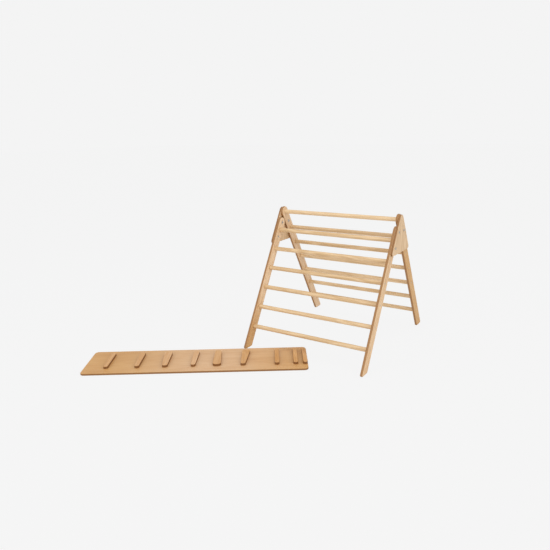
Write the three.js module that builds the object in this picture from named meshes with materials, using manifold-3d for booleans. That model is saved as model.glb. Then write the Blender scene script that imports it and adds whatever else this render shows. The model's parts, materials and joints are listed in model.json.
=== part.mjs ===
// Folding climbing triangle with a separate climbing ramp that doubles as a slide.
// Millimetres, +Z up. Before the last lines move the origin, X runs along the rungs, Y runs from the
// front ladder to the rear ladder, and the top bar's axis lies above x = 0, y = 0.
import * as THREE from 'three';
import { mergeVertices } from 'three/addons/utils/BufferGeometryUtils.js';
import Module from 'manifold-3d';

const wasm = await Module();
wasm.setup();

// ---- Driving dimensions ----

const GAP = 0.3; // left between touching pieces, and round anything that sits in a hole

// Ladders
const TOP_BAR_HEIGHT = 777; // the top bar's axis above the floor
const INNER_WIDTH = 750; // between the two rails of a ladder
const FRONT_LEAN = THREE.MathUtils.degToRad(30.25); // each ladder's angle from upright
const REAR_LEAN = THREE.MathUtils.degToRad(30.25);
const RUNGS_PER_LADDER = 6;
const RUNG_PITCH = 127; // along the rails, counted from the top bar
const RUNG_DIAMETER = 25.4;
const RAIL_WIDTH = 65;
const RAIL_THICKNESS = 15;
const FOOT_CORNER_RADIUS = 10;
const SOCKET_DEPTH = 8; // how far a rung sits in its rail

// Gusset plates, one outside each pair of rails
const PLATE_THICKNESS = 12;
const PLATE_EDGE_OFFSET = 29; // from each rail's centre line to the plate's edge
const PLATE_DROP = 190; // from the top bar's axis to the plate's lower edge
const PLATE_CORNER_RADIUS = 16;

// Bolts, placed along the rails from the top bar's axis
const PIVOT_DISTANCE = 76; // front rails turn here
const REAR_BOLT_DISTANCE = 76;
const LOCK_DISTANCE = 174; // the bolts that hold the front ladder open
const BOLT_SHANK_DIAMETER = 8;
const BOLT_HEAD_DIAMETER = 14;
const BOLT_HEAD_HEIGHT = 2.4;
const SLEEVE_FLANGE_DIAMETER = 17;
const HEX_SOCKET_DIAMETER = 5.8; // across the corners
const HEX_SOCKET_DEPTH = 1.6;

// Rung screws
const SCREW_LENGTH = 38;
const SCREW_SHANK_DIAMETER = 4.2;
const SCREW_HEAD_DIAMETER = 9;
const SCREW_HEAD_HEIGHT = 3;
const SCREW_TIP_HEIGHT = 5;

// Ramp
const RAMP_LENGTH = 1266;
const RAMP_WIDTH = 300;
const RAMP_THICKNESS = 12;
const RAMP_CORNER_RADIUS = 22;
const RAMP_CENTRE = new THREE.Vector2(-512, -768.5);
const RAMP_TURN = THREE.MathUtils.degToRad(33.4); // the ramp's length, turned from X
const CLEAT_LENGTH = 193; // across the ramp
const CLEAT_HEIGHT = 15;
const CLEAT_WIDTH = 26;
const CLEAT_CORNER_SHARE = 0.46; // a corner's radius as a share of that end's width
const CLEAT_CORNER_LIMIT = 20; // and its largest radius

// Each climbing cleat: the left edge's place along the ramp at the near end, then the widths of the
// near and far ends, and how far the left edge moves along the ramp by the far end.
const CLIMBING_CLEATS = [
  { left: 115, nearWidth: CLEAT_WIDTH, farWidth: CLEAT_WIDTH, skew: 0 },
  { left: 290, nearWidth: CLEAT_WIDTH, farWidth: 32, skew: -5 },
  { left: 446, nearWidth: 29, farWidth: 50, skew: -20 },
  { left: 606, nearWidth: CLEAT_WIDTH, farWidth: 37, skew: -7 },
  { left: 728, nearWidth: 49, farWidth: 38, skew: 0 },
  { left: 886, nearWidth: 27, farWidth: 50, skew: 1 },
  { left: 1079, nearWidth: CLEAT_WIDTH, farWidth: CLEAT_WIDTH, skew: 0 },
];

// The hook pair holds a rung between its two cleats when the ramp hangs the other way up.
const HOOK_SLOT = 28.5;

// Roundness
const RUNG_SEGMENTS = 20;
const BOLT_SEGMENTS = 14;
const SCREW_SEGMENTS = 8;
const CURVE_SEGMENTS = 4;

// ---- Materials ----

const wood = (color) => new THREE.MeshStandardMaterial({ color, roughness: 0.62, metalness: 0 });
const railWood = wood(0xdcae82);
const dowelWood = wood(0xe9c896);
const plateWood = wood(0xdcbb90);
const rampWood = wood(0xd69c5c);
const cleatWood = wood(0xdba468);
const steel = new THREE.MeshStandardMaterial({ color: 0xb4b4b2, roughness: 0.35, metalness: 0.9 });

// ---- Geometry helpers ----

function toSolid(geometry) {
  const bare = geometry.clone();
  bare.deleteAttribute('normal');
  bare.deleteAttribute('uv');
  const merged = mergeVertices(bare, 1e-4);
  return new wasm.Manifold(new wasm.Mesh({
    numProp: 3,
    vertProperties: Float32Array.from(merged.attributes.position.array),
    triVerts: Uint32Array.from(merged.index.array),
  }));
}

function toGeometry(solid) {
  const mesh = solid.getMesh();
  const geometry = new THREE.BufferGeometry();
  geometry.setAttribute('position', new THREE.Float32BufferAttribute(mesh.vertProperties, 3));
  geometry.setIndex(Array.from(mesh.triVerts));
  geometry.computeVertexNormals();
  return geometry;
}

function cutAway(geometry, tools) {
  let solid = toSolid(geometry);
  for (const tool of tools) {
    solid = solid.subtract(toSolid(tool));
  }
  return toGeometry(solid);
}

// A cylinder along X from one x to another.
function barAlongX(diameter, fromX, toX, y, z, segments) {
  const bar = new THREE.CylinderGeometry(diameter / 2, diameter / 2, toX - fromX, segments);
  return bar.rotateZ(Math.PI / 2).translate((fromX + toX) / 2, y, z);
}

// A closed outline through corners listed anticlockwise, each rounded to its own radius.
function roundedOutline(corners) {
  const outline = new THREE.Shape();
  corners.forEach(({ point, radius }, index) => {
    const before = corners[(index + corners.length - 1) % corners.length].point;
    const after = corners[(index + 1) % corners.length].point;
    const inward = point.clone().sub(before).normalize();
    const outward = after.clone().sub(point).normalize();
    const turn = Math.acos(THREE.MathUtils.clamp(inward.dot(outward), -1, 1));
    const setBack = radius * Math.tan(turn / 2);
    const start = point.clone().addScaledVector(inward, -setBack);
    const centre = new THREE.Vector2(-inward.y, inward.x).multiplyScalar(radius).add(start);
    const startAngle = Math.atan2(start.y - centre.y, start.x - centre.x);
    outline.absarc(centre.x, centre.y, radius, startAngle, startAngle + turn, false);
  });
  return outline;
}

// A flat board cut to an outline in the Y-Z plane, standing between two x values.
function uprightBoard(outline, fromX, thickness) {
  const options = { depth: thickness, bevelEnabled: false, curveSegments: CURVE_SEGMENTS };
  const board = new THREE.ExtrudeGeometry(outline, options);
  const axes = new THREE.Matrix4().makeBasis(
    new THREE.Vector3(0, 1, 0),
    new THREE.Vector3(0, 0, 1),
    new THREE.Vector3(1, 0, 0),
  );
  return board.applyMatrix4(axes).translate(fromX, 0, 0);
}

function addMesh(group, name, geometry, material) {
  const mesh = new THREE.Mesh(geometry, material);
  mesh.name = name;
  group.add(mesh);
  return mesh;
}

// ---- Places worked out from the driving dimensions ----

const SIDES = [
  { side: 'left', sign: -1 },
  { side: 'right', sign: 1 },
];
const RAIL_INNER_X = INNER_WIDTH / 2;
const RAIL_OUTER_X = RAIL_INNER_X + RAIL_THICKNESS;
const PLATE_INNER_X = RAIL_OUTER_X + GAP;
const PLATE_OUTER_X = PLATE_INNER_X + PLATE_THICKNESS;
const rungPlaces = Array.from({ length: RUNGS_PER_LADDER }, (_, index) => (index + 1) * RUNG_PITCH);

// The lower x of a slab that spans from the inner to the outer distance on one side.
function lowerX(sign, inner, outer) {
  return sign > 0 ? inner : -outer;
}

// A bar on one side of the frame, between two distances from its middle.
function sideBar(diameter, sign, inner, outer, y, z, segments = BOLT_SEGMENTS) {
  const fromX = lowerX(sign, inner, outer);
  return barAlongX(diameter, fromX, fromX + outer - inner, y, z, segments);
}

// ---- Ladder pieces ----
// A ladder is built hanging straight down from the top bar's axis, with z as minus the distance along
// the rails. Its group then leans it and lifts it into place.

// lean is signed: positive carries the ladder's foot towards +Y.
function footZ(lean, y) {
  return -(TOP_BAR_HEIGHT + y * Math.sin(lean)) / Math.cos(lean);
}

// The rail has a round top end about the given distance, and is cut level with the floor at its foot.
function railOutline(lean, topDistance) {
  const half = RAIL_WIDTH / 2;
  const top = half - topDistance;
  const corner = (y, z, radius) => ({ point: new THREE.Vector2(y, z), radius });
  return roundedOutline([
    corner(-half, footZ(lean, -half), FOOT_CORNER_RADIUS),
    corner(half, footZ(lean, half), FOOT_CORNER_RADIUS),
    corner(half, top, half - 0.01),
    corner(-half, top, half - 0.01),
  ]);
}

function rail(lean, topDistance, rungDistances, boltDistances, sign) {
  const fromX = lowerX(sign, RAIL_INNER_X, RAIL_OUTER_X);
  const board = uprightBoard(railOutline(lean, topDistance), fromX, RAIL_THICKNESS);
  const mouth = RAIL_INNER_X - 1;
  const socketFloor = RAIL_INNER_X + SOCKET_DEPTH;
  const sockets = rungDistances.map((distance) => (
    sideBar(RUNG_DIAMETER + 2 * GAP, sign, mouth, socketFloor, 0, -distance, RUNG_SEGMENTS)
  ));
  const screwHoles = rungPlaces.map((distance) => screw(sign, -distance, GAP));
  const boltHoles = boltDistances.map((distance) => (
    sideBar(BOLT_SHANK_DIAMETER + 2 * GAP, sign, mouth, RAIL_OUTER_X + 1, 0, -distance)
  ));
  return cutAway(board, [...sockets, ...screwHoles, ...boltHoles]);
}

// A countersunk wood screw with its head flush in the rail's outer face; grow makes its clearance hole.
function screw(sign, z, grow = 0) {
  const shank = SCREW_SHANK_DIAMETER / 2 + grow;
  const head = SCREW_HEAD_DIAMETER / 2 + grow;
  const tip = -SCREW_LENGTH - grow;
  const profile = [
    new THREE.Vector2(0, tip),
    new THREE.Vector2(shank, tip + SCREW_TIP_HEIGHT),
    new THREE.Vector2(shank, -SCREW_HEAD_HEIGHT - grow),
    new THREE.Vector2(head, grow),
    new THREE.Vector2(0, grow),
  ];
  const body = new THREE.LatheGeometry(profile, SCREW_SEGMENTS);
  return body.rotateZ(-sign * Math.PI / 2).translate(sign * RAIL_OUTER_X, 0, z);
}

function rung(z, withScrewHoles) {
  const end = RAIL_INNER_X + SOCKET_DEPTH - GAP;
  const bar = barAlongX(RUNG_DIAMETER, -end, end, 0, z, RUNG_SEGMENTS);
  return withScrewHoles ? cutAway(bar, SIDES.map(({ sign }) => screw(sign, z, GAP))) : bar;
}

function ladder(name, { lean, topDistance, hasTopBar, boltDistances }) {
  const group = new THREE.Group();
  const rungDistances = hasTopBar ? [0, ...rungPlaces] : rungPlaces;
  for (const { side, sign } of SIDES) {
    const shape = rail(lean, topDistance, rungDistances, boltDistances, sign);
    addMesh(group, `${name}_rail_${side}`, shape, railWood);
  }
  rungPlaces.forEach((distance, index) => {
    addMesh(group, `${name}_rung_${index + 1}`, rung(-distance, true), dowelWood);
    for (const { side, sign } of SIDES) {
      addMesh(group, `${name}_screw_${side}_${index + 1}`, screw(sign, -distance), steel);
    }
  });
  if (hasTopBar) {
    addMesh(group, 'top_bar', rung(0, false), dowelWood);
  }
  group.rotation.x = lean;
  group.position.z = TOP_BAR_HEIGHT;
  return group;
}

// ---- Gusset plates and their bolts ----

// A point on a ladder's centre line, and one off to the ladder's outer side, in the Y-Z plane.
function onLadder(lean, distance, outwards = 0) {
  const side = Math.sign(lean);
  return new THREE.Vector2(
    distance * Math.sin(lean) + side * outwards * Math.cos(lean),
    TOP_BAR_HEIGHT - distance * Math.cos(lean) + side * outwards * Math.sin(lean),
  );
}

// Where a plate's sloping edge reaches its level lower edge.
function plateLowerCorner(lean) {
  const start = onLadder(lean, 0, PLATE_EDGE_OFFSET);
  const fall = start.y - (TOP_BAR_HEIGHT - PLATE_DROP);
  return new THREE.Vector2(start.x + fall * Math.tan(lean), start.y - fall);
}

function plateOutline() {
  const front = plateLowerCorner(-FRONT_LEAN);
  const rear = plateLowerCorner(REAR_LEAN);
  return roundedOutline([
    { point: front, radius: PLATE_CORNER_RADIUS },
    { point: rear, radius: PLATE_CORNER_RADIUS },
    { point: peakOf(front, rear), radius: PLATE_EDGE_OFFSET },
  ]);
}

// Where the two sloping edges of a plate would meet above its round top.
function peakOf(front, rear) {
  const run = rear.x - front.x;
  const rise = run / (Math.tan(FRONT_LEAN) + Math.tan(REAR_LEAN));
  return new THREE.Vector2(front.x + rise * Math.tan(FRONT_LEAN), front.y + rise);
}

const pivotPoint = onLadder(-FRONT_LEAN, PIVOT_DISTANCE);
const rearBoltPoint = onLadder(REAR_LEAN, REAR_BOLT_DISTANCE);
const lockPoint = onLadder(-FRONT_LEAN, LOCK_DISTANCE);

function gussetPlate(sign) {
  const fromX = lowerX(sign, PLATE_INNER_X, PLATE_OUTER_X);
  const board = uprightBoard(plateOutline(), fromX, PLATE_THICKNESS);
  const tools = [pivotPoint, rearBoltPoint, lockPoint].map((point) => (
    sideBar(BOLT_SHANK_DIAMETER + 2 * GAP, sign, PLATE_INNER_X - 1, PLATE_OUTER_X + 1, point.x, point.y)
  ));
  return cutAway(board, tools);
}

// A bolt with a low head outside the plate. Its shank runs in to the given distance, and a flange
// there, if it has one, is the sleeve nut's head on the rail's inner face.
function bolt(sign, point, innerEnd, hasFlange) {
  const headInner = PLATE_OUTER_X + GAP;
  const headOuter = headInner + BOLT_HEAD_HEIGHT;
  const head = sideBar(BOLT_HEAD_DIAMETER, sign, headInner, headOuter, point.x, point.y);
  const shank = sideBar(BOLT_SHANK_DIAMETER, sign, innerEnd, headInner + 1, point.x, point.y);
  let body = toSolid(head).add(toSolid(shank));
  if (hasFlange) {
    const flangeEnd = innerEnd - BOLT_HEAD_HEIGHT;
    const flange = sideBar(SLEEVE_FLANGE_DIAMETER, sign, flangeEnd, innerEnd, point.x, point.y);
    body = body.add(toSolid(flange));
  }
  const socketFloor = headOuter - HEX_SOCKET_DEPTH;
  const socket = sideBar(HEX_SOCKET_DIAMETER, sign, socketFloor, headOuter + 1, point.x, point.y, 6);
  return toGeometry(body.subtract(toSolid(socket)));
}

function plateGroup() {
  const group = new THREE.Group();
  const throughRail = RAIL_INNER_X - GAP;
  for (const { side, sign } of SIDES) {
    addMesh(group, `gusset_plate_${side}`, gussetPlate(sign), plateWood);
    addMesh(group, `pivot_bolt_${side}`, bolt(sign, pivotPoint, throughRail, true), steel);
    addMesh(group, `rear_bolt_${side}`, bolt(sign, rearBoltPoint, throughRail, true), steel);
    addMesh(group, `lock_bolt_${side}`, bolt(sign, lockPoint, RAIL_OUTER_X + GAP, false), steel);
  }
  return group;
}

// ---- Ramp ----
// The ramp is built with its length along X from 0, its width about y = 0 and its underside on z = 0.

function flatBoard(outline, fromZ, thickness) {
  const options = { depth: thickness, bevelEnabled: false, curveSegments: CURVE_SEGMENTS };
  return new THREE.ExtrudeGeometry(outline, options).translate(0, 0, fromZ);
}

function cleat({ left, nearWidth, farWidth, skew }) {
  const half = CLEAT_LENGTH / 2;
  const corner = (x, y, endWidth) => ({
    point: new THREE.Vector2(x, y),
    radius: Math.min(CLEAT_CORNER_SHARE * endWidth, CLEAT_CORNER_LIMIT),
  });
  const outline = roundedOutline([
    corner(left, -half, nearWidth),
    corner(left + nearWidth, -half, nearWidth),
    corner(left + skew + farWidth, half, farWidth),
    corner(left + skew, half, farWidth),
  ]);
  return flatBoard(outline, RAMP_THICKNESS + GAP, CLEAT_HEIGHT);
}

function straightCleat(left) {
  return cleat({ left, nearWidth: CLEAT_WIDTH, farWidth: CLEAT_WIDTH, skew: 0 });
}

function ramp() {
  const group = new THREE.Group();
  const half = RAMP_WIDTH / 2;
  const corners = [[0, -half], [RAMP_LENGTH, -half], [RAMP_LENGTH, half], [0, half]];
  const outline = roundedOutline(corners.map(([x, y]) => (
    { point: new THREE.Vector2(x, y), radius: RAMP_CORNER_RADIUS }
  )));
  addMesh(group, 'ramp_board', flatBoard(outline, 0, RAMP_THICKNESS), rampWood);
  CLIMBING_CLEATS.forEach((shape, index) => {
    addMesh(group, `ramp_cleat_${index + 1}`, cleat(shape), cleatWood);
  });
  const endHook = RAMP_LENGTH - CLEAT_WIDTH - 1;
  const innerHook = endHook - HOOK_SLOT - CLEAT_WIDTH;
  addMesh(group, 'hook_cleat_inner', straightCleat(innerHook), cleatWood);
  addMesh(group, 'hook_cleat_end', straightCleat(endHook), cleatWood);
  group.rotation.z = RAMP_TURN;
  const halfLength = new THREE.Vector2(RAMP_LENGTH / 2, 0).rotateAround(new THREE.Vector2(), RAMP_TURN);
  group.position.set(RAMP_CENTRE.x - halfLength.x, RAMP_CENTRE.y - halfLength.y, 0);
  return group;
}

// ---- Assembly ----

const frontLadder = ladder('front', {
  lean: -FRONT_LEAN,
  topDistance: PIVOT_DISTANCE,
  hasTopBar: false,
  boltDistances: [PIVOT_DISTANCE, LOCK_DISTANCE],
});
const rearLadder = ladder('rear', {
  lean: REAR_LEAN,
  topDistance: 0,
  hasTopBar: true,
  boltDistances: [REAR_BOLT_DISTANCE],
});

const climber = new THREE.Group();
climber.add(rearLadder, frontLadder, plateGroup(), ramp());

// The origin is the middle of the assembly's footprint, on the floor.
climber.updateMatrixWorld(true);
const box = new THREE.Box3().setFromObject(climber, true);
const centre = box.getCenter(new THREE.Vector3());
climber.position.set(-centre.x, -centre.y, -box.min.z);

export default climber;
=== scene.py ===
"""Folding climbing triangle with its climbing ramp: the visual model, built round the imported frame.

Metres, in the row frame. Each wooden piece is built flat in its own axes, with X along its grain and Z
through its thickness, and then put in place, so that its grain and its plies follow it.
"""

import json
import math
import random

import bmesh
import bpy
from mathutils import Matrix, Vector
from mathutils.geometry import delaunay_2d_cdt

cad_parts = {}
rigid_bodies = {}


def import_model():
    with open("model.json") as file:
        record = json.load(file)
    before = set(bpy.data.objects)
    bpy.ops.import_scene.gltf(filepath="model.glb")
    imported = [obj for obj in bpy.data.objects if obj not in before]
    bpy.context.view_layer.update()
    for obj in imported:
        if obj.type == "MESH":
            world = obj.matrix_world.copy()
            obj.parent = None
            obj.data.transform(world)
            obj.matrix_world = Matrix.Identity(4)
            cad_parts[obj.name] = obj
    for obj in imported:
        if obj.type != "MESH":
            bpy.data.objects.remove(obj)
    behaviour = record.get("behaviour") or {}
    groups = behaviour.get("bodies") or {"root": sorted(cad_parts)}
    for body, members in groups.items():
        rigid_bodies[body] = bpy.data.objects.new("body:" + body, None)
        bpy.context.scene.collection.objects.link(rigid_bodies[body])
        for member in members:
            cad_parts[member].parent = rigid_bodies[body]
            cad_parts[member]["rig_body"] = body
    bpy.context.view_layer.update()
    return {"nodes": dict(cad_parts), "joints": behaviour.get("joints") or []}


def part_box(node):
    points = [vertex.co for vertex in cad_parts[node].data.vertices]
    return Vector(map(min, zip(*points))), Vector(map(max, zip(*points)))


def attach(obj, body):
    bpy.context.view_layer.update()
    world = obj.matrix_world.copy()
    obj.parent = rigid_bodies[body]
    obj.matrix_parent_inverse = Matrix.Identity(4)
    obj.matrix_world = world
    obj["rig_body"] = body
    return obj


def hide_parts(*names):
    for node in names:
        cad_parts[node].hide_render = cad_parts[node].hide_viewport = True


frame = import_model()

# ---- Driving dimensions ----

MM = 0.001
HAIR = 0.01 * MM  # keeps two full round corners of one outline from quite meeting

# Ladders. Distances run down along the rails, from the top bar's axis.
PIVOT_DISTANCE = 76 * MM
LOCK_DISTANCE = 174 * MM
RAIL_WIDTH = 65 * MM
RAIL_EDGE_ROUNDING = 4 * MM
FOOT_CORNER_RADIUS = 10 * MM
RUNGS_PER_LADDER = 6
RUNG_RADIUS = 12.7 * MM
RUNG_SOCKET_DEPTH = 8 * MM
RUNG_SOCKET_BEVEL = 0.45 * MM
SNUG_GAP = 0.15 * MM  # round a rung's end and round a screw's head

# Gusset plates
PLATE_EDGE_OFFSET = 29 * MM  # from each rail's centre line to the plate's edge
PLATE_CORNER_RADIUS = 16 * MM
PLATE_EDGE_ROUNDING = 3 * MM

# Bolts, their sleeve nuts and the threaded inserts
BOLT_SHANK_RADIUS = 4 * MM
BOLT_HEAD_RADIUS = 7 * MM
BOLT_HEAD_HEIGHT = 2.7 * MM
BOLT_SOFTENING = 0.8 * MM
BOLT_GAP = 0.3 * MM
BOLT_HOLE_BEVEL = 0.4 * MM
SLEEVE_FLANGE_RADIUS = 8.5 * MM
HEX_SOCKET_RADIUS = 2.9 * MM
DRIVE_DEPTH = 1.6 * MM  # of the bolts' hex sockets and of the screws' cross recesses
INSERT_RADIUS = 6.4 * MM
INSERT_GAP = 0.1 * MM
INSERT_INSET = 0.4 * MM
INSERT_TURNS = 9
THREAD_DEPTH = 0.6 * MM

# Screws
SCREW_LENGTH = 38 * MM
SCREW_HEAD_RADIUS = 4.5 * MM
SCREW_HEAD_HEIGHT = 2.6 * MM
SCREW_HEAD_RIM = 0.3 * MM
SCREW_HEAD_INSET = 0.15 * MM
SCREW_HEAD_SOFTENING = 0.2 * MM
SCREW_NECK = 0.4 * MM
SCREW_ROOT_RADIUS = 1.5 * MM
SCREW_TIP_RADIUS = 0.2 * MM
SCREW_POINT_LENGTH = 5 * MM
SCREW_PITCH = 2.2 * MM
SCREW_TURNS = 12
COUNTERSINK_GAP = 0.1 * MM
CROSS_REACH = 2.4 * MM
CROSS_HALF_WIDTH = 0.55 * MM
CROSS_TAPER = 0.55

# Ramp
RAMP_LENGTH = 1266 * MM
RAMP_WIDTH = 300 * MM
RAMP_THICKNESS = 12 * MM
RAMP_CORNER_RADIUS = 22 * MM
RAMP_EDGE_ROUNDING = 2.5 * MM
CLEAT_LENGTH = 193 * MM
CLEAT_HEIGHT = 15.3 * MM
CLEAT_CORNER_SHARE = 0.46  # a corner's radius as a share of that end's width
CLEAT_CORNER_LIMIT = 20 * MM
CLEAT_EDGE_ROUNDING = 2.5 * MM
HOOK_CLEAT_WIDTH = 26 * MM
HOOK_SLOT = 28.5 * MM
HOOK_INSET = 1 * MM

# Left edge along the ramp at the near end, near width, far width and how far the left edge has moved
# along the ramp by the far end, in millimetres
CLIMBING_CLEATS = [
    (115, 26, 26, 0),
    (290, 26, 32, -5),
    (446, 29, 50, -20),
    (606, 26, 37, -7),
    (728, 49, 38, 0),
    (886, 27, 50, 1),
    (1079, 26, 26, 0),
]

# Roundness
ARC_STEP = math.radians(9)
FEWEST_ARC_STEPS = 3
ROUNDING_STEPS = 5
DOWEL_SEGMENTS = 64
BOLT_SEGMENTS = 40
SCREW_SEGMENTS = 24
SHARP_ANGLE = math.radians(40)

# ---- Flat outlines, anticlockwise, as lists of points ----

CORNER_SIGNS = ((-1, -1), (1, -1), (1, 1), (-1, 1))  # of a rectangle's corners, from its middle


def circle(radius, segments, centre=(0, 0)):
    middle_point = Vector(centre)
    angles = [index * math.tau / segments for index in range(segments)]
    return [middle_point + radius * Vector((math.cos(angle), math.sin(angle))) for angle in angles]


def rounded_outline(corners):
    """Points and outward normals round a convex outline. Each corner is (x, y, radius), in order."""
    points = [Vector(corner[:2]) for corner in corners]
    area = sum(points[index - 1].cross(points[index]) for index in range(len(points)))
    if area < 0:
        return rounded_outline(corners[::-1])
    outline, normals = [], []
    for index, point in enumerate(points):
        inward = (point - points[index - 1]).normalized()
        outward = (points[(index + 1) % len(points)] - point).normalized()
        turn = math.acos(max(-1, min(1, inward.dot(outward))))
        radius = corners[index][2]
        start = point - inward * radius * math.tan(turn / 2)
        start_normal = Vector((inward.y, -inward.x))
        centre = start - start_normal * radius
        steps = max(FEWEST_ARC_STEPS, math.ceil(turn / ARC_STEP))
        for step in range(steps + 1):
            normal = turned(start_normal, turn * step / steps)
            outline.append(centre + normal * radius)
            normals.append(normal)
    return outline, normals


def turned(vector, angle):
    cosine, sine = math.cos(angle), math.sin(angle)
    return Vector((vector.x * cosine - vector.y * sine, vector.x * sine + vector.y * cosine))


def meeting_point(point, direction, other_point, other_direction):
    """Where two lines in a plane cross."""
    along = (other_point - point).cross(other_direction) / direction.cross(other_direction)
    return point + direction * along


# ---- Closed meshes made of flat rings ----

# For the triangulation of caps: what it keeps, and the distance below which two points are one
INSIDE_ONLY = 2
CAP_TOLERANCE = 1e-9


class Solid:
    """A closed mesh put together from flat rings of points, each at its own height along Z."""

    def __init__(self):
        self.points = []
        self.faces = []

    def ring(self, outline, height):
        """Adds a ring's points and returns their numbers."""
        first = len(self.points)
        self.points += [(point[0], point[1], height) for point in outline]
        return list(range(first, len(self.points)))

    def wall(self, ring, next_ring):
        """Joins two rings of equally many points."""
        for index in range(len(ring)):
            after = (index + 1) % len(ring)
            self.faces.append((ring[index], ring[after], next_ring[after], next_ring[index]))

    def walls(self, rings):
        for ring, next_ring in zip(rings, rings[1:]):
            self.wall(ring, next_ring)

    def cap(self, rim, holes=()):
        """Fills a flat ring, leaving out the rings inside it."""
        members = [index for ring in (rim, *holes) for index in ring]
        flat = [Vector(self.points[index][:2]) for index in members]
        loops, start = [], 0
        for ring in (rim, *holes):
            loops.append(list(range(start, start + len(ring))))
            start += len(ring)
        triangles = delaunay_2d_cdt(flat, [], loops, INSIDE_ONLY, CAP_TOLERANCE)[2]
        self.faces += [tuple(members[corner] for corner in triangle) for triangle in triangles]

    def recess(self, outline, height, depth, taper=1.0):
        """A blind hole from a flat face at this height. Returns its rim, for the face's cap."""
        centre = sum(outline, Vector((0, 0))) / len(outline)
        rim = self.ring(outline, height)
        floor = self.ring([centre + (point - centre) * taper for point in outline], height - depth)
        self.wall(rim, floor)
        self.cap(floor)
        return rim

    def make(self, name):
        mesh = bpy.data.meshes.new(name)
        mesh.from_pydata(self.points, [], self.faces)
        editable = bmesh.new()
        editable.from_mesh(mesh)
        bmesh.ops.recalc_face_normals(editable, faces=editable.faces)
        editable.to_mesh(mesh)
        editable.free()
        mesh.shade_smooth()
        mesh.set_sharp_from_angle(angle=SHARP_ANGLE)
        piece = bpy.data.objects.new(name, mesh)
        bpy.context.scene.collection.objects.link(piece)
        even_shading = piece.modifiers.new("even_shading", "WEIGHTED_NORMAL")
        even_shading.keep_sharp = True
        even_shading.weight = 100
        return piece


def bevelled_hole(radius, bevel, depth):
    """The (radius, depth) steps of a blind hole."""
    return [(radius + bevel, 0), (radius, bevel), (radius, depth)]


def through_hole(radius, bevel, thickness):
    """The (radius, depth) steps of a hole that is bevelled at both faces."""
    return [*bevelled_hole(radius, bevel, thickness - bevel), (radius + bevel, thickness)]


def add_holes(solid, holes, thickness):
    """Sinks round holes into a board. Each is (centre, face, steps): face is 1 for the top, -1 for the
    underside and 0 for right through from the top, and steps are (radius, depth) from the face inwards."""
    top_rims, underside_rims = [], []
    for centre, face, steps in holes:
        widest = max(radius for radius, depth in steps)
        segments = BOLT_SEGMENTS if widest > INSERT_RADIUS else SCREW_SEGMENTS
        side = -1 if face < 0 else 1
        rings = [
            solid.ring(circle(radius, segments, centre), side * (thickness / 2 - depth))
            for radius, depth in steps
        ]
        solid.walls(rings)
        (underside_rims if face < 0 else top_rims).append(rings[0])
        if face:
            solid.cap(rings[-1])
        else:
            underside_rims.append(rings[-1])
    return top_rims, underside_rims


def board(name, corners, thickness, rounding, holes=(), round_underside=True):
    """A flat board about z = 0 with rounded corners and edges. Its holes are as add_holes takes them."""
    solid = Solid()
    outline, normals = rounded_outline(corners)
    face_to_side = []
    for step in range(ROUNDING_STEPS + 1):
        angle = math.pi / 2 * step / ROUNDING_STEPS
        inset = rounding * (1 - math.sin(angle))
        face_to_side.append((inset, thickness / 2 - rounding * (1 - math.cos(angle))))
    underside = [(0, -thickness / 2)]
    if round_underside:
        underside = [(inset, -height) for inset, height in face_to_side]
    rings = [
        solid.ring([point - normal * inset for point, normal in zip(outline, normals)], height)
        for inset, height in underside + face_to_side[::-1]
    ]
    solid.walls(rings)
    top_rims, underside_rims = add_holes(solid, holes, thickness)
    solid.cap(rings[0], underside_rims)
    solid.cap(rings[-1], top_rims)
    return solid.make(name)


def turned_piece(name, profile, segments, lower_recess=None, upper_recess=None):
    """A turned piece from (radius, z) rings, lowest first. A recess in an end is (outline, taper), where
    the taper is its floor's size against its rim's."""
    solid = Solid()
    rings = [solid.ring(circle(radius, segments), height) for radius, height in profile]
    solid.walls(rings)
    for recess, end, depth in ((lower_recess, 0, -DRIVE_DEPTH), (upper_recess, -1, DRIVE_DEPTH)):
        rims = []
        if recess:
            outline, taper = recess
            rims.append(solid.recess(outline, profile[end][1], depth, taper))
        solid.cap(rings[end], rims)
    return solid.make(name)


# ---- Putting pieces in place ----


def frame_axes(origin, x_axis, z_axis):
    """The placing that takes a piece's own axes to this origin and these directions."""
    y_axis = z_axis.cross(x_axis)
    axes = Matrix((x_axis, y_axis, z_axis)).transposed().to_4x4()
    return Matrix.Translation(origin) @ axes


def finish_piece(piece, placing, node, material):
    """Puts a piece in place of its CAD node, on the same body."""
    set_in_place(piece, placing, node, material)
    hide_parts(node)
    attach(piece, frame["nodes"][node]["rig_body"])


def set_in_place(piece, placing, seed_name, material):
    """Gives a mesh its material and moves it from its own axes to the row frame. Its points keep their
    old places, the piece's seed and how warm its colour is there, which is partly wood tone and partly
    painted shade as WARMTH says, for the material to read."""
    mesh = piece.data
    places = [coordinate for vertex in mesh.vertices for coordinate in vertex.co]
    mesh.attributes.new("own_place", "FLOAT_VECTOR", "POINT").data.foreach_set("vector", places)
    seeds = [random.Random(seed_name).random()] * len(mesh.vertices)
    mesh.attributes.new("grain_seed", "FLOAT", "POINT").data.foreach_set("value", seeds)
    start, growth = WARMTH.get(seed_name, (0, 0))
    warmths = [start + growth * vertex.co.x for vertex in mesh.vertices]
    mesh.attributes.new("warmth", "FLOAT", "POINT").data.foreach_set("value", warmths)
    mesh.transform(placing)
    mesh.materials.append(material)


def middle(node):
    low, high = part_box(node)
    return (low + high) / 2


def size(node):
    low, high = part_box(node)
    return high - low


# ---- Materials ----


def srgb(red, green, blue):
    """A colour given as it looks on a screen, 0 to 255."""
    linear = []
    for value in (red, green, blue):
        part = value / 255
        linear.append(part / 12.92 if part <= 0.04045 else ((part + 0.055) / 1.055) ** 2.4)
    return (*linear, 1)


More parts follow.
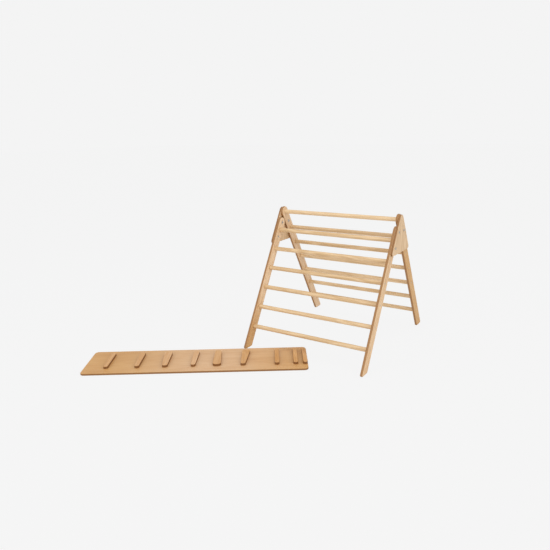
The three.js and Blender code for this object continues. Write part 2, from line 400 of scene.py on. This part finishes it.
class Look:
    """One material and short ways to add nodes to it."""

    def __init__(self, name, roughness, specular=0.5):
        self.roughness = roughness
        self.material = bpy.data.materials.new(name)
        self.material.use_nodes = True
        self.tree = self.material.node_tree
        self.shader = self.tree.nodes["Principled BSDF"]
        self.shader.inputs["Roughness"].default_value = roughness
        self.shader.inputs["Specular IOR Level"].default_value = specular

    def add(self, kind, values=None, **settings):
        """A new node. A value that is another node's socket is linked, and any other is set."""
        node = self.tree.nodes.new(kind)
        for name, value in settings.items():
            setattr(node, name, value)
        for socket, value in (values or {}).items():
            if isinstance(value, bpy.types.NodeSocket):
                self.tree.links.new(value, node.inputs[socket])
            else:
                node.inputs[socket].default_value = value
        return node

    def maths(self, operation, first, second=0.0):
        return self.add("ShaderNodeMath", {0: first, 1: second}, operation=operation).outputs[0]

    def between(self, value, low, high, to_low=0.0, to_high=1.0):
        """Goes smoothly from to_low to to_high as value goes from low to high."""
        values = {"Value": value, "From Min": low, "From Max": high, "To Min": to_low, "To Max": to_high}
        return self.add("ShaderNodeMapRange", values, interpolation_type="SMOOTHSTEP").outputs["Result"]

    def weighted_sum(self, *terms):
        """Adds up (value, weight) terms."""
        parts = [self.maths("MULTIPLY", value, weight) for value, weight in terms]
        total = parts[0]
        for part in parts[1:]:
            total = self.maths("ADD", total, part)
        return total

    def mix(self, factor, first, second, blend="MIX"):
        values = {0: factor, 6: first, 7: second}
        return self.add("ShaderNodeMix", values, data_type="RGBA", blend_type=blend).outputs[2]

    def tinted(self, factor, colour, tint):
        """The colour, multiplied by the tint where the factor is 1."""
        return self.mix(factor, colour, self.mix(1.0, colour, tint, "MULTIPLY"))

    def noise(self, position, scale, detail=2.0, roughness=0.5):
        values = {"Vector": position, "Scale": scale, "Detail": detail, "Roughness": roughness}
        return self.add("ShaderNodeTexNoise", values).outputs["Fac"]

    def stretched(self, position, shares):
        return self.add("ShaderNodeVectorMath", {0: position, 1: shares}, operation="MULTIPLY").outputs[0]

    def attribute(self, name, output):
        return self.add("ShaderNodeAttribute", attribute_name=name).outputs[output]

    def own_place(self):
        """The place in the piece's own axes."""
        return self.attribute("own_place", "Vector")

    def seed(self):
        """A number from 0 to 1 that is the piece's own."""
        return self.attribute("grain_seed", "Fac")

    def warmth(self):
        """How warm the piece's colour is here, as WARMTH says: partly the wood's tone and partly painted
        shade.
        """
        return self.maths("MAXIMUM", self.attribute("warmth", "Fac"), PALEST)

    def grain_place(self):
        """The place in the piece's own axes, moved far off by the piece's seed."""
        seed = self.seed()
        shift = self.add("ShaderNodeCombineXYZ", {0: seed, 1: seed, 2: seed}).outputs[0]
        far = self.stretched(shift, SEED_SHIFT)
        return self.add("ShaderNodeVectorMath", {0: self.own_place(), 1: far}, operation="ADD").outputs[0]

    def roughen(self, height, distance):
        bump = self.add("ShaderNodeBump", {"Strength": 1.0, "Distance": distance, "Height": height})
        self.tree.links.new(bump.outputs["Normal"], self.shader.inputs["Normal"])

    def colour(self, socket):
        self.tree.links.new(socket, self.shader.inputs["Base Color"])

    def gloss(self, socket):
        self.tree.links.new(socket, self.shader.inputs["Roughness"])


# How far each piece's colour goes from pale and pinkish (0) to deep and golden (1), at the origin of its
# own axes, and how much that grows with each metre along its grain. This is partly the wood's own tone and
# partly painted shade: front_rail_right is made deeper where the right-hand softbox lights it more than the
# other rails, and front_rail_left deepens towards its foot. Other pieces have (0, 0).
WARMTH = {
    "top_bar": (-0.5, 0),
    "front_rail_left": (-2.3, 4.2),
    # painted shade: made deeper against the right-hand softbox's stronger light on this rail
    "front_rail_right": (0.25, 0),
    "rear_rail_right": (1.0, 0),
    "ramp_cleat_1": (0.7, 0),
    "ramp_cleat_2": (0.6, 0),
    "ramp_cleat_3": (0.45, 0),
    "ramp_cleat_4": (0.25, 0),
    "ramp_cleat_5": (0.7, 0),
    "ramp_cleat_6": (0.9, 0),
    "ramp_cleat_7": (1.2, 0),
    "hook_cleat_inner": (1.0, 0),
    "hook_cleat_end": (0.8, 0),
}
PALEST = -0.5  # no wood gets less warm than this
WARM_TINT = srgb(243, 230, 193)

SEED_SHIFT = (31.0, 17.0, 7.0)  # metres between the grain of a piece with seed 0 and one with seed 1

# Waves to the metre in wood's patterns, along the grain and across it. The scales multiply the figure's
# and the patches'. The figure's lines are how finely its slow drift is cut into bands.
FIGURE_WAVES = (0.9, 9.0, 9.0)
PATCH_WAVES = (1.0, 5.0, 5.0)
FIBRE_WAVES = (14.0, 420.0, 420.0)
FLECK_WAVES = (60.0, 1100.0, 1100.0)
END_GRAIN_WAVES = (900.0, 900.0, 160.0)
PATCH_SCALE = 2.2
PLYWOOD_FIGURE_SCALE = 1.6
PLYWOOD_FIGURE_LINES = 60.0
DOWEL_FIGURE_SCALE = 2.4
DOWEL_FIGURE_LINES = 40.0

PLYWOOD_ROUGHNESS = 0.5
DOWEL_ROUGHNESS = 0.42
PLYWOOD_PORES = srgb(205, 180, 150)
DOWEL_PORES = srgb(200, 172, 140)
VENEER = (0.25 * MM, 1.3 * MM)  # below a face, the depths between which its colour gives way to the plies
MIDDLE_REACH = (0.05, 0.6)  # from a pale middle, the distances between which a board turns warm

STEEL_ROUGHNESS = 0.34
STEEL_ROUGHNESS_SPAN = (0.3, 0.46)
STEEL_CLOUD_WAVES = 260.0
STEEL_GRIT_WAVES = 1400.0


def wood_tones(look, grain, figure_scale, figure_lines):
    """The figure, patches, fibres and flecks of wood whose grain runs along X, each 0 to 1 about a half."""
    drift = look.noise(look.stretched(grain, FIGURE_WAVES), figure_scale, 2.0)
    lines = look.maths("SINE", look.maths("MULTIPLY", drift, figure_lines))
    figure = look.maths("ADD", look.maths("MULTIPLY", lines, 0.5), 0.5)
    patches = look.noise(look.stretched(grain, PATCH_WAVES), PATCH_SCALE, 2.0)
    fibres = look.noise(look.stretched(grain, FIBRE_WAVES), 1.0, 3.0, 0.65)
    flecks = look.noise(look.stretched(grain, FLECK_WAVES), 1.0, 1.0)
    return figure, patches, fibres, flecks


def wood_surface(look, fibres, pores, duller, relief):
    """Varies the gloss from fibre to fibre, raises the fibres and sinks the pores."""
    look.gloss(look.between(fibres, 0.3, 0.7, look.roughness - 0.05, look.roughness + duller))
    look.roughen(look.weighted_sum((fibres, 1.0), (pores, -0.8)), relief)


def plywood(name, pale, deep, edge_pale, edge_deep, thickness, plies, figure_share=0.34, pale_middle=None):
    """Veneered board. Below its faces the plies show as pale and dark lines. A board with a pale middle,
    given by its place along X, turns warmer away from there."""
    look = Look(name, PLYWOOD_ROUGHNESS)
    grain = look.grain_place()
    figure, patches, fibres, flecks = wood_tones(look, grain, PLYWOOD_FIGURE_SCALE, PLYWOOD_FIGURE_LINES)
    coordinates = look.add("ShaderNodeSeparateXYZ", {0: look.own_place()}).outputs
    # per-piece warmth from WARMTH, partly wood tone and partly painted shade
    warmth = look.warmth()

    tone = look.weighted_sum(
        (figure, figure_share), (fibres, 0.5), (patches, 0.6), (look.seed(), 0.06), (warmth, 0.3)
    )
    face = look.mix(look.between(tone, 0.45, 1.15), pale, deep)
    if pale_middle is not None:
        away = look.maths("ABSOLUTE", look.maths("SUBTRACT", coordinates["X"], pale_middle))
        warmth = look.maths("ADD", warmth, look.between(away, *MIDDLE_REACH))
    face = look.tinted(warmth, face, WARM_TINT)
    pores = look.between(flecks, 0.64, 0.78, 0.0, 0.35)
    face = look.tinted(pores, face, PLYWOOD_PORES)

    depth = look.maths("SUBTRACT", thickness / 2, look.maths("ABSOLUTE", coordinates["Z"]))
    wave = look.maths("SINE", look.maths("MULTIPLY", depth, math.pi * plies / thickness))
    stripe = look.between(wave, -0.35, 0.35)
    end_grain = look.noise(look.stretched(grain, END_GRAIN_WAVES), 1.0, 2.0)
    edge = look.mix(look.weighted_sum((stripe, 0.6), (end_grain, 0.4)), edge_deep, edge_pale)

    look.colour(look.mix(look.between(depth, *VENEER), face, edge))
    wood_surface(look, fibres, pores, duller=0.07, relief=0.12 * MM)
    return look.material


def solid_wood(name, pale, deep):
    """Turned hardwood, its figure stretched along it and its pores darker."""
    look = Look(name, DOWEL_ROUGHNESS)
    grain = look.grain_place()
    figure, patches, fibres, flecks = wood_tones(look, grain, DOWEL_FIGURE_SCALE, DOWEL_FIGURE_LINES)
    tone = look.weighted_sum(
        (figure, 0.4), (fibres, 0.45), (patches, 0.5), (look.seed(), 0.16), (look.warmth(), 0.5)
    )
    body = look.mix(look.between(tone, 0.4, 1.15), pale, deep)
    pores = look.between(flecks, 0.63, 0.78, 0.0, 0.4)
    look.colour(look.tinted(pores, body, DOWEL_PORES))
    wood_surface(look, fibres, pores, duller=0.08, relief=0.1 * MM)
    return look.material


def clouded_steel(name, dull, bright):
    look = Look(name, STEEL_ROUGHNESS)
    look.shader.inputs["Metallic"].default_value = 1.0
    grain = look.grain_place()
    clouds = look.noise(grain, STEEL_CLOUD_WAVES, 3.0)
    look.colour(look.mix(clouds, dull, bright))
    look.gloss(look.between(clouds, 0.3, 0.7, *STEEL_ROUGHNESS_SPAN))
    look.roughen(look.noise(grain, STEEL_GRIT_WAVES, 2.0), 0.03 * MM)
    return look.material


RAIL_THICKNESS = size("front_rail_left").x
PLATE_THICKNESS = size("gusset_plate_left").x

rail_wood = plywood(
    "rail_wood", srgb(228, 197, 160), srgb(207, 168, 126), srgb(186, 138, 86), srgb(120, 80, 42),
    RAIL_THICKNESS, 9,
)
plate_wood = plywood(
    "plate_wood", srgb(223, 192, 154), srgb(199, 164, 122), srgb(176, 126, 72), srgb(108, 68, 32),
    PLATE_THICKNESS, 7,
)
ramp_wood = plywood(
    "ramp_wood", srgb(217, 178, 136), srgb(197, 149, 101), srgb(166, 114, 56), srgb(100, 66, 30),
    RAMP_THICKNESS, 7, figure_share=0.14, pale_middle=0.1,
)
cleat_wood = plywood(
    "cleat_wood", srgb(228, 190, 150), srgb(205, 158, 110), srgb(154, 103, 52), srgb(94, 60, 28),
    CLEAT_HEIGHT, 9, figure_share=0.2,
)
dowel_wood = solid_wood("dowel_wood", srgb(222, 192, 151), srgb(199, 164, 118))
zinc_steel = clouded_steel("zinc_steel", srgb(170, 168, 166), srgb(204, 202, 198))

# ---- Places read from the frame ----

UP = Vector((0, 0, 1))
ALONG_X = Vector((1, 0, 0))
SIDES = {"left": -ALONG_X, "right": ALONG_X}
top_axis = middle("top_bar")


def ladder_direction(ladder):
    """Down along a ladder's rails."""
    first, last = middle(f"{ladder}_rung_1"), middle(f"{ladder}_rung_{RUNGS_PER_LADDER}")
    return (last - first).normalized()


def distance_down(ladder, node):
    """How far down the rails a piece's middle is from the top bar's axis."""
    offset = middle(node) - top_axis
    offset.x = 0
    return offset.dot(ladder_direction(ladder))


def outer_face(node, outwards):
    """The middle of the face of a node's box that looks outwards along X."""
    low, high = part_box(node)
    point = (low + high) / 2
    point.x = high.x if outwards.x > 0 else low.x
    return point


# ---- Ladders ----


def build_rail(ladder, side, outwards, is_pivoted):
    """A rail with its length along X, from the top bar's axis. A pivoted one starts at its pivot."""
    node = f"{ladder}_rail_{side}"
    down = ladder_direction(ladder)
    origin = Vector((middle(node).x, top_axis.y, top_axis.z))
    placing = frame_axes(origin, down, outwards)
    across = placing.to_3x3().col[1]
    half = RAIL_WIDTH / 2
    top = (PIVOT_DISTANCE if is_pivoted else 0) - half

    def foot(offset):
        """How far down the rail the floor is, this far off its centre line."""
        return (origin.z + offset * across.z) / -down.z

    corners = [
        (top, -half, half - HAIR),
        (foot(-half), -half, FOOT_CORNER_RADIUS),
        (foot(half), half, FOOT_CORNER_RADIUS),
        (top, half, half - HAIR),
    ]
    rungs = [distance_down(ladder, f"{ladder}_rung_{index + 1}") for index in range(RUNGS_PER_LADDER)]
    sockets = rungs if is_pivoted else [0, *rungs]
    socket = bevelled_hole(RUNG_RADIUS + SNUG_GAP, RUNG_SOCKET_BEVEL, RUNG_SOCKET_DEPTH)
    countersink = [
        (SCREW_HEAD_RADIUS + SNUG_GAP, 0),
        (SCREW_ROOT_RADIUS + THREAD_DEPTH, SCREW_HEAD_HEIGHT + COUNTERSINK_GAP),
    ]
    bolt_holes = {PIVOT_DISTANCE: BOLT_SHANK_RADIUS + BOLT_GAP}
    if is_pivoted:
        bolt_holes[LOCK_DISTANCE] = INSERT_RADIUS + INSERT_GAP
    holes = [((distance, 0), -1, socket) for distance in sockets]
    holes += [((distance, 0), 1, countersink) for distance in rungs]
    holes += [
        ((distance, 0), 0, through_hole(radius, BOLT_HOLE_BEVEL, RAIL_THICKNESS))
        for distance, radius in bolt_holes.items()
    ]
    piece = board(f"{node}_board", corners, RAIL_THICKNESS, RAIL_EDGE_ROUNDING, holes)
    finish_piece(piece, placing, node, rail_wood)


def build_dowel(node):
    length = size(node).x
    profile = [(RUNG_RADIUS, -length / 2), (RUNG_RADIUS, length / 2)]
    piece = turned_piece(f"{node}_dowel", profile, DOWEL_SEGMENTS)
    lie_along_x(piece)
    finish_piece(piece, Matrix.Translation(middle(node)), node, dowel_wood)


def lie_along_x(piece):
    """Turns a piece that was made along Z."""
    piece.data.transform(Matrix.Rotation(math.pi / 2, 4, "Y"))


def cross_outline(reach, half_width):
    """The plus shape of a cross-head recess."""
    arm = [(reach, -half_width), (reach, half_width), (half_width, half_width)]
    points = []
    for quarter in range(4):
        points += [turned(Vector(point), quarter * math.pi / 2) for point in arm]
    return points


def build_screw(node, outwards):
    """A countersunk screw, its head just below z = 0 and its point inwards."""
    thread_start = SCREW_POINT_LENGTH - SCREW_LENGTH
    profile = [(SCREW_TIP_RADIUS, -SCREW_LENGTH), (SCREW_ROOT_RADIUS, thread_start)]
    for index in range(SCREW_TURNS):
        profile += [
            (SCREW_ROOT_RADIUS + THREAD_DEPTH, thread_start + (index + 0.5) * SCREW_PITCH),
            (SCREW_ROOT_RADIUS, thread_start + (index + 1) * SCREW_PITCH),
        ]
    profile += [
        (SCREW_ROOT_RADIUS, -SCREW_HEAD_HEIGHT - SCREW_NECK),
        (SCREW_ROOT_RADIUS + SCREW_HEAD_RIM, -SCREW_HEAD_HEIGHT),
        (SCREW_HEAD_RADIUS, -SCREW_HEAD_INSET - SCREW_HEAD_RIM),
        (SCREW_HEAD_RADIUS - SCREW_HEAD_SOFTENING, -SCREW_HEAD_INSET),
    ]
    cross = (cross_outline(CROSS_REACH, CROSS_HALF_WIDTH), CROSS_TAPER)
    piece = turned_piece(f"{node}_steel", profile, SCREW_SEGMENTS, upper_recess=cross)
    turn = Matrix.Rotation(random.Random(node).random() * math.tau, 4, "Z")
    placing = frame_axes(outer_face(node, outwards), UP, outwards) @ turn
    finish_piece(piece, placing, node, zinc_steel)


def build_ladder(ladder, is_pivoted):
    for side, outwards in SIDES.items():
        build_rail(ladder, side, outwards, is_pivoted)
        for index in range(RUNGS_PER_LADDER):
            build_screw(f"{ladder}_screw_{side}_{index + 1}", outwards)
    for index in range(RUNGS_PER_LADDER):
        build_dowel(f"{ladder}_rung_{index + 1}")


# ---- Gusset plates and bolts ----


def build_plate(side, outwards):
    """A rounded triangle with its height along X, from the middle of its level lower edge."""
    node = f"gusset_plate_{side}"
    low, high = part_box(node)
    origin = Vector(((low.x + high.x) / 2, top_axis.y, low.z))
    placing = frame_axes(origin, UP, outwards)
    to_local = placing.inverted()

    def flat(point):
        """A point's place in the plate's plane."""
        local = to_local @ Vector((origin.x, point.y, point.z))
        return Vector((local.x, local.y))

    def sloping_edge(ladder):
        """A point on the plate's edge beside a ladder, and the edge's direction."""
        down = ladder_direction(ladder)
        sideways = Vector((0, -down.z, down.y)) * (1 if down.y > 0 else -1)
        start = flat(top_axis + sideways * PLATE_EDGE_OFFSET)
        return start, flat(top_axis + sideways * PLATE_EDGE_OFFSET + down) - start

    front, rear = sloping_edge("front"), sloping_edge("rear")
    level = (Vector((0, 0)), Vector((0, 1)))
    corners = [
        (*meeting_point(*front, *level), PLATE_CORNER_RADIUS),
        (*meeting_point(*rear, *level), PLATE_CORNER_RADIUS),
        (*meeting_point(*front, *rear), PLATE_EDGE_OFFSET),
    ]
    steps = through_hole(BOLT_SHANK_RADIUS + BOLT_GAP, BOLT_HOLE_BEVEL, PLATE_THICKNESS)
    holes = [(flat(middle(f"{bolt}_{side}")), 0, steps) for bolt in ("pivot_bolt", "rear_bolt", "lock_bolt")]
    piece = board(f"{node}_board", corners, PLATE_THICKNESS, PLATE_EDGE_ROUNDING, holes)
    finish_piece(piece, placing, node, plate_wood)


def head_profile(radius, outer, inner):
    """A low head with a softened rim, from the height of its bearing face to that of its outer face."""
    softening = BOLT_SOFTENING if outer > inner else -BOLT_SOFTENING
    return [
        (radius, inner),
        (radius, outer - softening),
        (radius - 0.3 * BOLT_SOFTENING, outer - 0.3 * softening),
        (radius - BOLT_SOFTENING, outer),
    ]


def build_bolt(node, outwards, has_flange):
    """A bolt with its head's outer face at z = 0. With a flange, a sleeve nut's is at its inner end."""
    length = size(node).x
    hexagon = (circle(HEX_SOCKET_RADIUS, 6), 1.0)
    head = head_profile(BOLT_HEAD_RADIUS, 0, -BOLT_HEAD_HEIGHT)
    inner_end = [
        (BOLT_SHANK_RADIUS - BOLT_SOFTENING, -length),
        (BOLT_SHANK_RADIUS, BOLT_SOFTENING - length),
    ]
    if has_flange:
        bearing = BOLT_HEAD_HEIGHT - length
        flange = head_profile(SLEEVE_FLANGE_RADIUS, -length, bearing)
        inner_end = [*flange[::-1], (BOLT_SHANK_RADIUS, bearing)]
    profile = [*inner_end, (BOLT_SHANK_RADIUS, -BOLT_HEAD_HEIGHT), *head]
    lower_recess = hexagon if has_flange else None
    piece = turned_piece(f"{node}_steel", profile, BOLT_SEGMENTS, lower_recess, hexagon)
    placing = frame_axes(outer_face(node, outwards), UP, outwards)
    finish_piece(piece, placing, node, zinc_steel)


def build_insert(side, outwards):
    """The threaded insert in the front rail that the lock bolt screws into."""
    solid = Solid()
    half = RAIL_THICKNESS / 2 - INSERT_INSET
    outer = [solid.ring(circle(INSERT_RADIUS, BOLT_SEGMENTS), height) for height in (-half, half)]
    solid.walls(outer)
    inner = []
    for index in range(2 * INSERT_TURNS + 1):
        radius = BOLT_SHANK_RADIUS - THREAD_DEPTH * (index % 2)
        height = half - half * index / INSERT_TURNS
        inner.append(solid.ring(circle(radius, BOLT_SEGMENTS), height))
    solid.walls(inner)
    solid.cap(outer[-1], [inner[0]])
    solid.cap(outer[0], [inner[-1]])
    piece = solid.make(f"lock_insert_{side}")
    rail = f"front_rail_{side}"
    origin = Vector((middle(rail).x, top_axis.y, top_axis.z)) + ladder_direction("front") * LOCK_DISTANCE
    set_in_place(piece, frame_axes(origin, UP, outwards), piece.name, zinc_steel)
    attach(piece, frame["nodes"][rail]["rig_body"])


# ---- Ramp ----


def cleat_corners(left, near_width, far_width, skew):
    """A cleat's corners (along, across, radius), measured from the ramp's middle."""
    half = CLEAT_LENGTH / 2
    start = left - RAMP_LENGTH / 2
    near_radius = min(CLEAT_CORNER_SHARE * near_width, CLEAT_CORNER_LIMIT)
    far_radius = min(CLEAT_CORNER_SHARE * far_width, CLEAT_CORNER_LIMIT)
    return [
        (start, -half, near_radius),
        (start + near_width, -half, near_radius),
        (start + skew + far_width, half, far_radius),
        (start + skew, half, far_radius),
    ]


def build_cleat(node, ramp_axes, corners):
    """A cleat with its length along X and flat against the ramp's face."""
    along = sum(corner[0] for corner in corners) / len(corners)
    turn = Matrix.Rotation(math.pi / 2, 4, "Z")
    height = (RAMP_THICKNESS + CLEAT_HEIGHT) / 2
    placing = ramp_axes @ Matrix.Translation((along, 0, height)) @ turn
    local = [(y, along - x, radius) for x, y, radius in corners]
    piece = board(f"{node}_board", local, CLEAT_HEIGHT, CLEAT_EDGE_ROUNDING, round_underside=False)
    finish_piece(piece, placing, node, cleat_wood)


def build_ramp():
    slide = next(joint for joint in frame["joints"] if joint["name"] == "ramp_slide")
    along = -Vector(slide["axis"])
    ramp_axes = frame_axes(middle("ramp_board"), along, UP)
    corners = [(x * RAMP_LENGTH / 2, y * RAMP_WIDTH / 2, RAMP_CORNER_RADIUS) for x, y in CORNER_SIGNS]
    piece = board("ramp_board_board", corners, RAMP_THICKNESS, RAMP_EDGE_ROUNDING)
    finish_piece(piece, ramp_axes, "ramp_board", ramp_wood)
    for index, shape in enumerate(CLIMBING_CLEATS):
        corners = cleat_corners(*(value * MM for value in shape))
        build_cleat(f"ramp_cleat_{index + 1}", ramp_axes, corners)
    end_hook = RAMP_LENGTH - HOOK_CLEAT_WIDTH - HOOK_INSET
    inner_hook = end_hook - HOOK_SLOT - HOOK_CLEAT_WIDTH
    for node, left in (("hook_cleat_inner", inner_hook), ("hook_cleat_end", end_hook)):
        build_cleat(node, ramp_axes, cleat_corners(left, HOOK_CLEAT_WIDTH, HOOK_CLEAT_WIDTH, 0))


# ---- Studio ----

BACKGROUND = srgb(244, 244, 244)
SKY_STRENGTH = 0.82
FLOOR_COLOUR = srgb(243, 243, 243)
FLOOR_REACH = 40.0
FLOOR_DEPTH = 0.6 * MM  # below the feet and the ramp, so that no two faces lie in one plane
FLOOR_GLOW = 1.007
SHADOW_SHARE = 0.04  # how much of the floor that the camera sees is lit by the lamps

# Name, place, width and power of each softbox, and the height of the point that it looks at
SOFTBOXES = [
    ("overhead", (0.5, -0.5, 3.6), 3.0, 34, 0.3),
    ("right", (8.0, -2.4, 3.2), 4.8, 176, 0.4),
    ("front", (-1.0, -4.5, 1.4), 2.6, 40, 0.4),
]

CAMERA_FROM_TOP_BAR = Vector((1.4153, -2.8833, 0.5052))
CAMERA_HEADING = math.radians(33.113)
CAMERA_TILT = math.radians(74.695)
CAMERA_ROLL = math.radians(-1.322)
CAMERA_LENS = 34.62
CAMERA_SENSOR = 36


def build_floor():
    """The camera sees mostly a plain glow, and everything else sees a pale floor that the lamps light."""
    mesh = bpy.data.meshes.new("floor")
    corners = [(x * FLOOR_REACH, y * FLOOR_REACH, -FLOOR_DEPTH) for x, y in CORNER_SIGNS]
    mesh.from_pydata(corners, [], [(0, 1, 2, 3)])
    floor = bpy.data.objects.new("floor", mesh)
    bpy.context.scene.collection.objects.link(floor)
    look = Look("floor", roughness=0.9, specular=0.0)
    look.shader.inputs["Base Color"].default_value = FLOOR_COLOUR
    glow = look.add("ShaderNodeEmission", {"Color": BACKGROUND, "Strength": FLOOR_GLOW})
    seen = look.add("ShaderNodeMixShader", {0: SHADOW_SHARE, 1: glow.outputs[0], 2: look.shader.outputs[0]})
    path = look.add("ShaderNodeLightPath")
    both = look.add(
        "ShaderNodeMixShader",
        {0: path.outputs["Is Camera Ray"], 1: look.shader.outputs[0], 2: seen.outputs[0]},
    )
    look.tree.links.new(both.outputs[0], look.tree.nodes["Material Output"].inputs["Surface"])
    mesh.materials.append(look.material)


def build_sky():
    """The camera sees the background at full strength, and the object is lit by a little less."""
    world = bpy.data.worlds.new("studio")
    bpy.context.scene.world = world
    world.use_nodes = True
    tree = world.node_tree
    background = tree.nodes["Background"]
    background.inputs["Color"].default_value = BACKGROUND
    path = tree.nodes.new("ShaderNodeLightPath")
    level = tree.nodes.new("ShaderNodeMapRange")
    level.inputs["To Min"].default_value = SKY_STRENGTH
    level.inputs["To Max"].default_value = 1.0
    tree.links.new(path.outputs["Is Camera Ray"], level.inputs["Value"])
    tree.links.new(level.outputs["Result"], background.inputs["Strength"])


def add_softbox(name, place, width, power, aim_height):
    data = bpy.data.lights.new(name, "AREA")
    data.shape = "SQUARE"
    data.size = width
    data.energy = power
    lamp = bpy.data.objects.new(name, data)
    bpy.context.scene.collection.objects.link(lamp)
    sight = Vector((0, 0, aim_height)) - Vector(place)
    lamp.matrix_world = Matrix.Translation(place) @ sight.to_track_quat("-Z", "Y").to_matrix().to_4x4()


def add_camera():
    data = bpy.data.cameras.new("camera")
    data.sensor_width = CAMERA_SENSOR
    data.lens = CAMERA_LENS
    camera = bpy.data.objects.new("camera", data)
    bpy.context.scene.collection.objects.link(camera)
    camera.matrix_world = (
        Matrix.Translation(top_axis + CAMERA_FROM_TOP_BAR)
        @ Matrix.Rotation(CAMERA_HEADING, 4, "Z")
        @ Matrix.Rotation(CAMERA_TILT, 4, "X")
        @ Matrix.Rotation(CAMERA_ROLL, 4, "Z")
    )
    bpy.context.scene.camera = camera


# ---- Assembly ----

build_ladder("front", True)
build_ladder("rear", False)
build_dowel("top_bar")
for side, outwards in SIDES.items():
    build_plate(side, outwards)
    build_bolt(f"pivot_bolt_{side}", outwards, True)
    build_bolt(f"rear_bolt_{side}", outwards, True)
    build_bolt(f"lock_bolt_{side}", outwards, False)
    build_insert(side, outwards)
build_ramp()
build_floor()
build_sky()
for softbox in SOFTBOXES:
    add_softbox(*softbox)
add_camera()
bpy.context.scene.view_settings.view_transform = "Standard"
